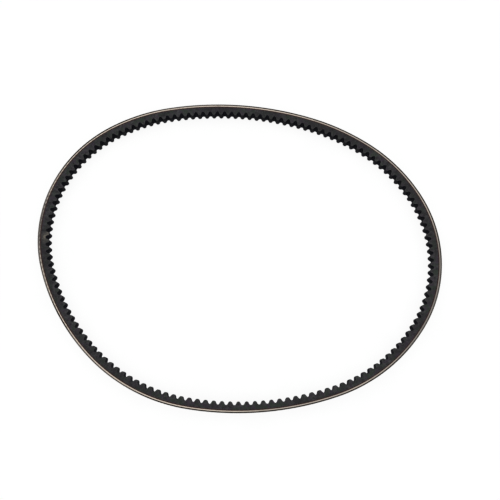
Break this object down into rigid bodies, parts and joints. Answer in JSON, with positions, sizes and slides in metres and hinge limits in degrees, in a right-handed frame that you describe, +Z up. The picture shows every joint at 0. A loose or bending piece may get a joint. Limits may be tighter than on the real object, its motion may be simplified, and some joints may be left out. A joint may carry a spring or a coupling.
{
  "type": "v belt",
  "caption": "Endless raw-edge V belt with moulded cogs inside, built up from canvas back plies, cord turns, adhesion gum and a compression rubber body, lying as a loose oval loop.",
  "frame": {"origin": "on the surface that the belt lies on, under the middle of the loop's bounding box", "axes": "+X along the loop's longest extent, +Y across the loop, +Z up, across the width of the belt from the lower edge of its back to the upper one"},
  "size_m": [0.3156, 0.2495, 0.0119],
  "materials": {
    "canvas_ply": "rubberised plain-weave canvas on the bias, dull charcoal grey",
    "overcord_gum": "soft black adhesion rubber, cut edge",
    "tensile_cord": "twisted polyester cord with a tan adhesive dip, cut open at the flanks",
    "undercord_gum": "dark reddish-brown adhesion rubber, cut edge",
    "compression_rubber": "matt black rubber loaded with short crosswise fibres, ground flanks and moulded cogs"
  },
  "bodies": {
    "root": {"outer_fabric_ply": "canvas_ply", "inner_fabric_ply": "canvas_ply", "overcord_gum": "overcord_gum", "cord_turn_01": "tensile_cord", "cord_turn_02": "tensile_cord", "cord_turn_03": "tensile_cord", "cord_turn_04": "tensile_cord", "cord_turn_05": "tensile_cord", "cord_turn_06": "tensile_cord", "cord_turn_07": "tensile_cord", "cord_turn_08": "tensile_cord", "cord_turn_09": "tensile_cord", "cord_turn_10": "tensile_cord", "undercord_gum": "undercord_gum", "compression_rubber": "compression_rubber"}
  },
  "joints": []
}
